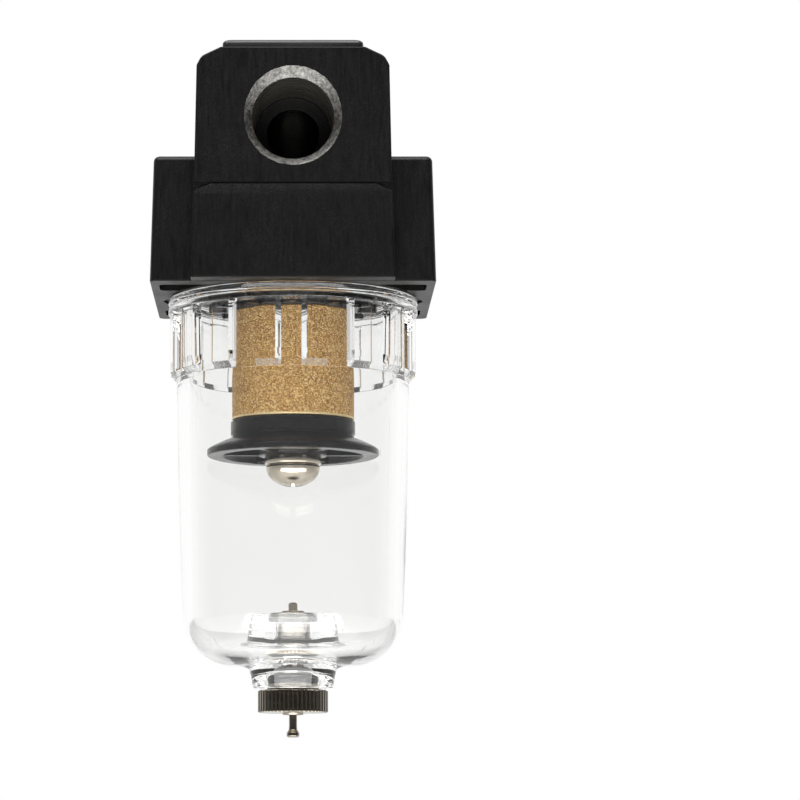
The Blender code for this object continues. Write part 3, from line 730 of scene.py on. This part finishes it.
turns, top, end, cr, wr, sides = 5.0, -72.35, -77.98, 1.2, 0.17, 12
N = int(turns * 36)
verts, faces = [], []
for k in range(N + 1):
    t = k / N
    ang = TAU * turns * t
    c = Vector((cr * math.cos(ang), cr * math.sin(ang), top + (end - top) * t))
    rad = Vector((math.cos(ang), math.sin(ang), 0))
    up = Vector((0, 0, 1))
    for s in range(sides):
        b = TAU * s / sides
        verts.append(tuple((c + (rad * math.cos(b) + up * math.sin(b)) * wr) * MM))
for k in range(N):
    for s in range(sides):
        j = (s + 1) % sides
        faces.append((k * sides + s, k * sides + j, (k + 1) * sides + j, (k + 1) * sides + s))
faces.append(tuple(range(sides))[::-1])
faces.append(tuple(N * sides + s for s in range(sides)))
spring = put(make("spring", verts, faces, WIRE, 60), "bowl", "spring_steel", "drain_spring")
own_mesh(spring)

# ---------------------------------------------------------------- stage
world = bpy.data.worlds.new("studio")
bpy.context.scene.world = world
world.use_nodes = True
nt = world.node_tree
bg = nt.nodes["Background"]
bg.inputs["Color"].default_value = (1, 1, 1, 1)
bg.inputs["Strength"].default_value = 1.0
tc = nt.nodes.new("ShaderNodeTexCoord")
sep = nt.nodes.new("ShaderNodeSeparateXYZ")
nt.links.new(tc.outputs["Generated"], sep.inputs[0])
ramp = nt.nodes.new("ShaderNodeValToRGB")
mr = nt.nodes.new("ShaderNodeMapRange")
mr.inputs["From Min"].default_value = -1
mr.inputs["From Max"].default_value = 1
nt.links.new(sep.outputs["Y"], mr.inputs["Value"])
nt.links.new(mr.outputs["Result"], ramp.inputs["Fac"])
e = ramp.color_ramp.elements
e[0].position, e[0].color = 0.30, (0.085, 0.085, 0.088, 1)
e[1].position, e[1].color = 0.80, (1, 1, 1, 1)
for at, v in ((0.54, 0.18), (0.66, 0.62)):
    m = e.new(at)
    m.color = (v, v, v, 1)
sky = nt.nodes.new("ShaderNodeMapRange")
sky.inputs["From Min"].default_value = 0.50
sky.inputs["From Max"].default_value = 0.80
nt.links.new(sep.outputs["Z"], sky.inputs["Value"])
lit = nt.nodes.new("ShaderNodeMath")
lit.operation = "MAXIMUM"
nt.links.new(ramp.outputs["Color"], lit.inputs[0])
nt.links.new(sky.outputs["Result"], lit.inputs[1])
path = nt.nodes.new("ShaderNodeLightPath")
through = nt.nodes.new("ShaderNodeMath")
through.operation = "MULTIPLY"
through.inputs[1].default_value = 0.62
nt.links.new(path.outputs["Is Transmission Ray"], through.inputs[0])
seen = nt.nodes.new("ShaderNodeMath")
seen.operation = "MAXIMUM"
nt.links.new(path.outputs["Is Camera Ray"], seen.inputs[0])
nt.links.new(through.outputs[0], seen.inputs[1])
total = nt.nodes.new("ShaderNodeMath")
total.operation = "MAXIMUM"
nt.links.new(lit.outputs[0], total.inputs[0])
nt.links.new(seen.outputs[0], total.inputs[1])
nt.links.new(total.outputs[0], bg.inputs["Color"])

floor = make("floor", [(-4, -4, -0.65), (4, -4, -0.65), (4, 4, -0.65), (-4, 4, -0.65)], [(0, 1, 2, 3)], [bpy.data.materials.new("pale_floor")])
fm = floor.data.materials[0]
fm.use_nodes = True
fm.node_tree.nodes["Principled BSDF"].inputs["Base Color"].default_value = (0.88, 0.88, 0.875, 1)
fm.node_tree.nodes["Principled BSDF"].inputs["Roughness"].default_value = 0.7


def area(name, loc, aim, size, energy, colour=(1, 1, 1)):
    l = bpy.data.lights.new(name, "AREA")
    l.shape = "RECTANGLE"
    l.size, l.size_y = size
    l.energy = energy
    l.color = colour
    o = bpy.data.objects.new(name, l)
    o.location = loc
    o.rotation_euler = (Vector(aim) - Vector(loc)).to_track_quat("-Z", "Y").to_euler()
    bpy.context.scene.collection.objects.link(o)
    return o


area("top_box", (-0.10, -0.32, 0.62), (0, 0, -0.02), (0.7, 0.5), 7.0)
area("low_box", (0.0, -0.56, -0.44), (0, 0, -0.05), (1.6, 0.42), 10.0)
area("overhead", (0.0, 0.2, 1.5), (0, 0.2, 0), (2.4, 2.4), 10.0)

cam_data = bpy.data.cameras.new("camera")
cam = bpy.data.objects.new("camera", cam_data)
bpy.context.scene.collection.objects.link(cam)
bpy.context.scene.camera = cam
cam.location = (0, -0.458, -0.0983)
cam.rotation_euler = (math.radians(97.55), 0, 0)
cam_data.sensor_width = 36
cam_data.lens = 3185 * 36 / 800
cam_data.shift_x = (400 - 293) / 800
cam_data.clip_start, cam_data.clip_end = 0.01, 20

sc = bpy.context.scene
sc.view_settings.view_transform = "Standard"
sc.view_settings.look = "None"
sc.cycles.max_bounces = 24
sc.cycles.transmission_bounces = 20
sc.cycles.transparent_max_bounces = 16
sc.cycles.glossy_bounces = 8
sc.cycles.caustics_reflective = True
sc.cycles.caustics_refractive = True
